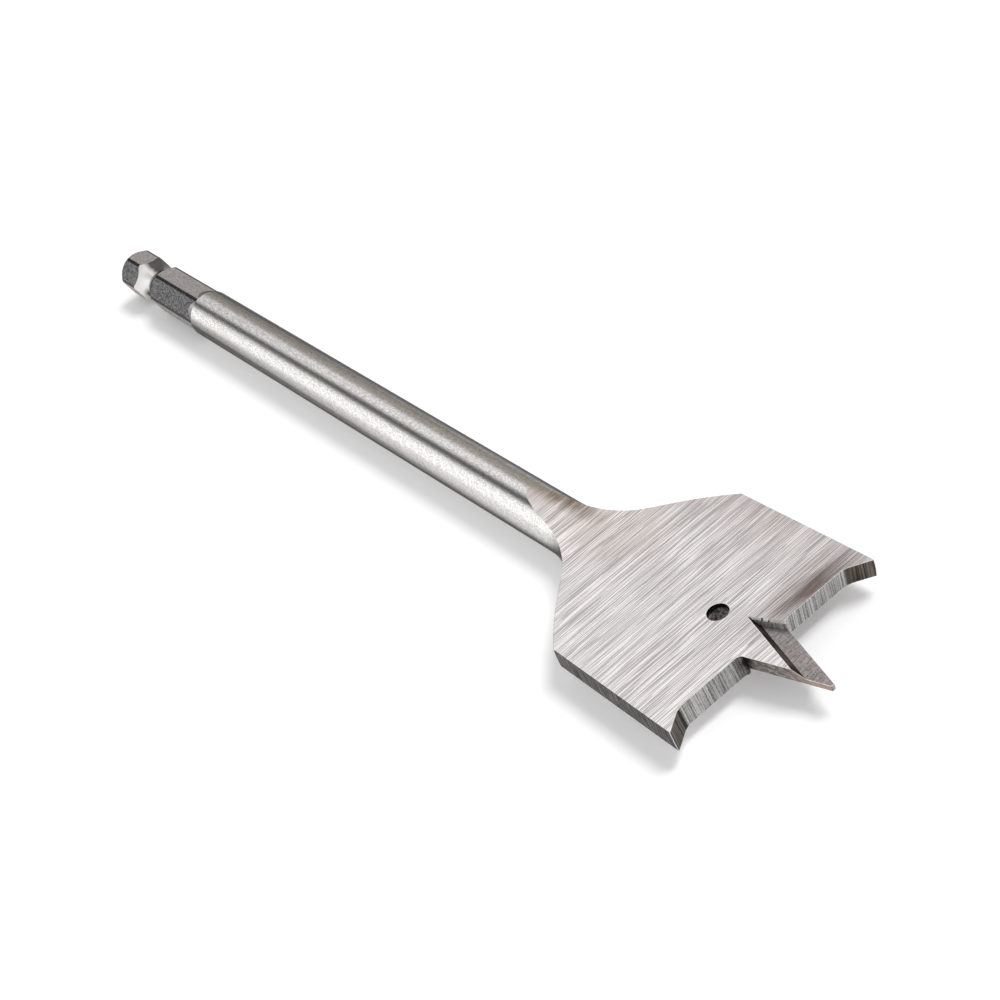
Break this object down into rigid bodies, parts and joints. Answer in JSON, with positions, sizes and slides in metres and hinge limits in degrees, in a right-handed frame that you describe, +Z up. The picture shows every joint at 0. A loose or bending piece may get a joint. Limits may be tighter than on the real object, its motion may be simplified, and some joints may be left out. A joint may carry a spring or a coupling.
{
  "type": "spade drill bit",
  "caption": "Flat spade bit for boring wood: hex shank with a detent groove, round shaft, flared neck and a ground blade with side spurs, lips, a long point and a pull hole.",
  "frame": {"origin": "middle of the shank's end face, on the axis", "axes": "+X along the axis from the shank's end to the point, +Z up out of the blade's level face, +Y across the blade"},
  "size_m": [0.16, 0.032, 0.007],
  "materials": {
    "steel": "faces ground across the axis with coarse bright lines, shaft satin, cutting edges and sides darker"
  },
  "bodies": {
    "root": {"spade_bit": "steel"}
  },
  "joints": []
}
